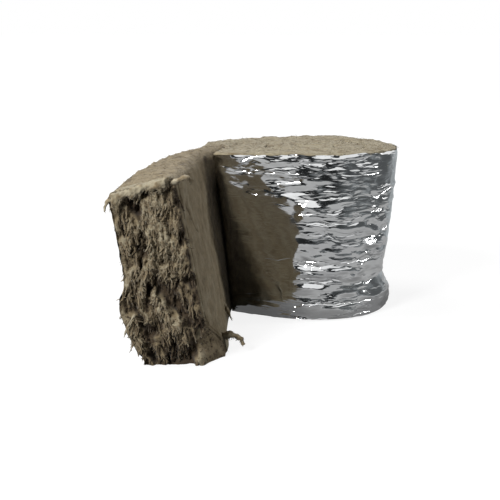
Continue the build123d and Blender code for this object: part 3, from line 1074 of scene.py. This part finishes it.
def studio_floor():
    """A pale floor that runs out of sight. It glows less where the foil mirrors it,
    and least near the roll, as a painted shadow in that reflection.
    """
    floor = matt("pale_floor", 0.18)
    away = floor.length(floor.place)
    roll = tuple(to_frame((FRONT_CENTRE / 2, 0.0, 0.0)))
    from_roll = floor.length(floor.vector("SUBTRACT", floor.place, roll))
    # painted shadow of the roll, seen only where the foil mirrors the floor
    mirrored = floor.ranged(from_roll, 0.08, 0.20, 0.4 * MIRRORED_FLOOR, MIRRORED_FLOOR)
    faded = floor.ranged(away, 0.35, 1.0, 0.86, 1.0)
    glow = floor.math("MULTIPLY", seen_or_mirrored(floor, mirrored), faded)
    floor.set(Emission_Color=(1.0, 1.0, 1.0, 1.0), Emission_Strength=glow)
    sides = ((-1, -1), (1, -1), (1, 1), (-1, 1))
    corners = [(x * FLOOR_REACH, y * FLOOR_REACH, 0) for x, y in sides]
    stage_mesh("studio_floor", corners, [(0, 1, 2, 3)], floor.material)


def studio_curtain():
    """A low ring that glows, seen in the foil alone: a painted reflection of a room."""
    painted_ring = matt("dark_curtain", 0.0)
    # painted reflection: dark low down, with brighter blotches, and brighter to the right and behind
    dark = painted_ring.ranged(painted_ring.part(painted_ring.place, "Z"), 0.0, 0.09, 0.06, 0.02)
    blotches = painted_ring.noise(painted_ring.stretched(painted_ring.place, (7.0, 7.0, 14.0)), 1.0, 2.0)
    patches = painted_ring.ranged(blotches, 0.54, 0.66, 0.0, 0.14)
    right = painted_ring.ranged(painted_ring.part(painted_ring.place, "X"), 0.20, 0.40, 0.0, 0.08)
    behind = painted_ring.ranged(painted_ring.part(painted_ring.place, "Y"), 0.20, 0.40, 0.0, 0.4)
    glow = painted_ring.math("ADD", painted_ring.math("ADD", dark, patches), painted_ring.math("ADD", right, behind))
    glow = painted_ring.math("MULTIPLY", glow, seen_or_mirrored(painted_ring))
    painted_ring.set(Emission_Color=(0.94, 1.0, 1.03, 1.0), Emission_Strength=glow)
    points, faces = [], []
    for i in range(REFLECTION_RING_SIDES):
        turn = 2 * math.pi * i / REFLECTION_RING_SIDES
        x, y = REFLECTION_RING_RADIUS * math.cos(turn), REFLECTION_RING_RADIUS * math.sin(turn)
        points += [(x, y, REFLECTION_RING_FOOT), (x, y, REFLECTION_RING_TOP)]
        j = (i + 1) % REFLECTION_RING_SIDES
        faces.append((2 * i, 2 * i + 1, 2 * j + 1, 2 * j))
    reflection_ring = stage_mesh("studio_curtain", points, faces, painted_ring.material)
    reflection_ring.visible_camera = reflection_ring.visible_diffuse = reflection_ring.visible_shadow = False


def studio_world():
    """White where it is seen or mirrored, and a faint light from all around."""
    world = bpy.data.worlds.new("studio")
    bpy.context.scene.world = world
    world.use_nodes = True
    sky = Tree(world.node_tree)
    background = sky.tree.nodes["Background"]
    dimmed = sky.math("MULTIPLY", seen_or_mirrored(sky), 1.0 - WORLD_FILL)
    sky.feed(background.inputs["Strength"], sky.math("ADD", dimmed, WORLD_FILL))
    sky.feed(background.inputs["Color"], (1.0, 1.0, 1.0, 1.0))


def camera():
    """Stands where the photograph was taken: a little above, and turned slightly left."""
    distance, height, focal_pixels = 1186.0, 266.0, 1270.0
    pitch, vanishing_column = math.radians(10.3), 300.0
    data = bpy.data.cameras.new("camera")
    data.lens = data.sensor_width * focal_pixels / PHOTO_SIZE
    eye = in_scene("camera", data)
    eye.location = to_frame((0.0, -distance, height))
    yaw = math.atan((vanishing_column - PHOTO_SIZE / 2) / focal_pixels)
    eye.rotation_euler = (math.pi / 2 - pitch, 0.0, yaw)
    bpy.context.scene.camera = eye


# The object

matted = wool_material("matted_wool", WOOL_BRIGHT, WOOL_DARK, (330.0, 330.0, 260.0), 0.0008)
parted = wool_material("torn_wool", WOOL_BRIGHT, WOOL_DARK, (420.0, 420.0, 130.0), 0.0010)
strands = wool_material("wool_strands", STRAND_BRIGHT, STRAND_DARK, (420.0, 420.0, 200.0), 0.0003)
foil = foil_material()

body = wool_body(matted)
torn = torn_end(parted)
grower = StrandGrower()
everywhere, level = (1.0, 1.0, 1.0), (1.0, 1.0, 0.1)
lip = torn_lip(matted)
loose = loose_tufts(strands)
torn_tufts = grower.grow(
    "wool_torn_tufts", torn, Density=2.4e5, Length=6.5 * MM, Thickness=1.7 * MM, Outward=0.30,
    Pull=(0.0, -0.1, -0.8), Spread=everywhere, Wander=1.1, Wander_Size=8 * MM, Curl=2.6 * MM,
    Curl_Size=3.0 * MM, Root_Shade=0.35, Uneven_Shade=0.35, Sides=4, Rings=5, Seed=4, Material=strands,
)
torn_fibres = grower.grow(
    "wool_torn_fibres", torn, Density=5.0e5, Length=4.5 * MM, Thickness=0.7 * MM, Outward=0.45,
    Pull=(0.0, -0.1, -0.6), Spread=everywhere, Wander=1.6, Wander_Size=4 * MM, Curl=2.4 * MM,
    Curl_Size=2.5 * MM, Root_Shade=0.2, Uneven_Shade=0.3, Sides=3, Rings=4, Seed=9, Material=strands,
)
lip_fibres = grower.grow(
    "wool_lip_fibres", lip, Density=8.0e5, Length=2.6 * MM, Thickness=0.5 * MM, Outward=0.5,
    Pull=(0.0, -0.3, -0.5), Spread=everywhere, Wander=1.2, Wander_Size=4 * MM, Curl=1.4 * MM,
    Curl_Size=2.0 * MM, Root_Shade=0.0, Uneven_Shade=0.12, Sides=3, Rings=3, Seed=21, Material=strands,
)
loose_fibres = grower.grow(
    "wool_loose_fibres", loose, Density=2.6e5, Length=1.3 * MM, Thickness=0.5 * MM, Outward=0.3,
    Pull=(0.0, 0.0, -0.5), Spread=everywhere, Wander=1.2, Wander_Size=3 * MM, Curl=1.2 * MM,
    Curl_Size=2.0 * MM, Root_Shade=0.1, Uneven_Shade=0.15, Sides=3, Rings=3, Seed=22, Material=strands,
)
fuzz = grower.grow(
    "wool_fuzz", body, Density=1.3e5, Length=3.0 * MM, Thickness=0.34 * MM, Outward=0.03,
    Pull=(0.0, 0.0, 0.0), Spread=level, Wander=1.6, Wander_Size=3 * MM, Curl=0.8 * MM,
    Curl_Size=2.5 * MM, Root_Shade=0.0, Uneven_Shade=0.08, Sides=3, Rings=4, Seed=15, Material=strands,
)
facing = foil_facing(foil)
wound = wound_foil(foil)
for piece in (body, torn, lip, loose, torn_tufts, torn_fibres, lip_fibres, loose_fibres, fuzz):
    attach(piece, "root")
    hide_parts("wool_mat")
for piece in (facing, wound):
    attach(piece, "root")
    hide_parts("foil_facing")

studio_floor()
studio_curtain()
studio_world()
for lamp in SOFTBOXES:
    softbox(*lamp)
camera()
bpy.context.scene.view_settings.view_transform = "Standard"
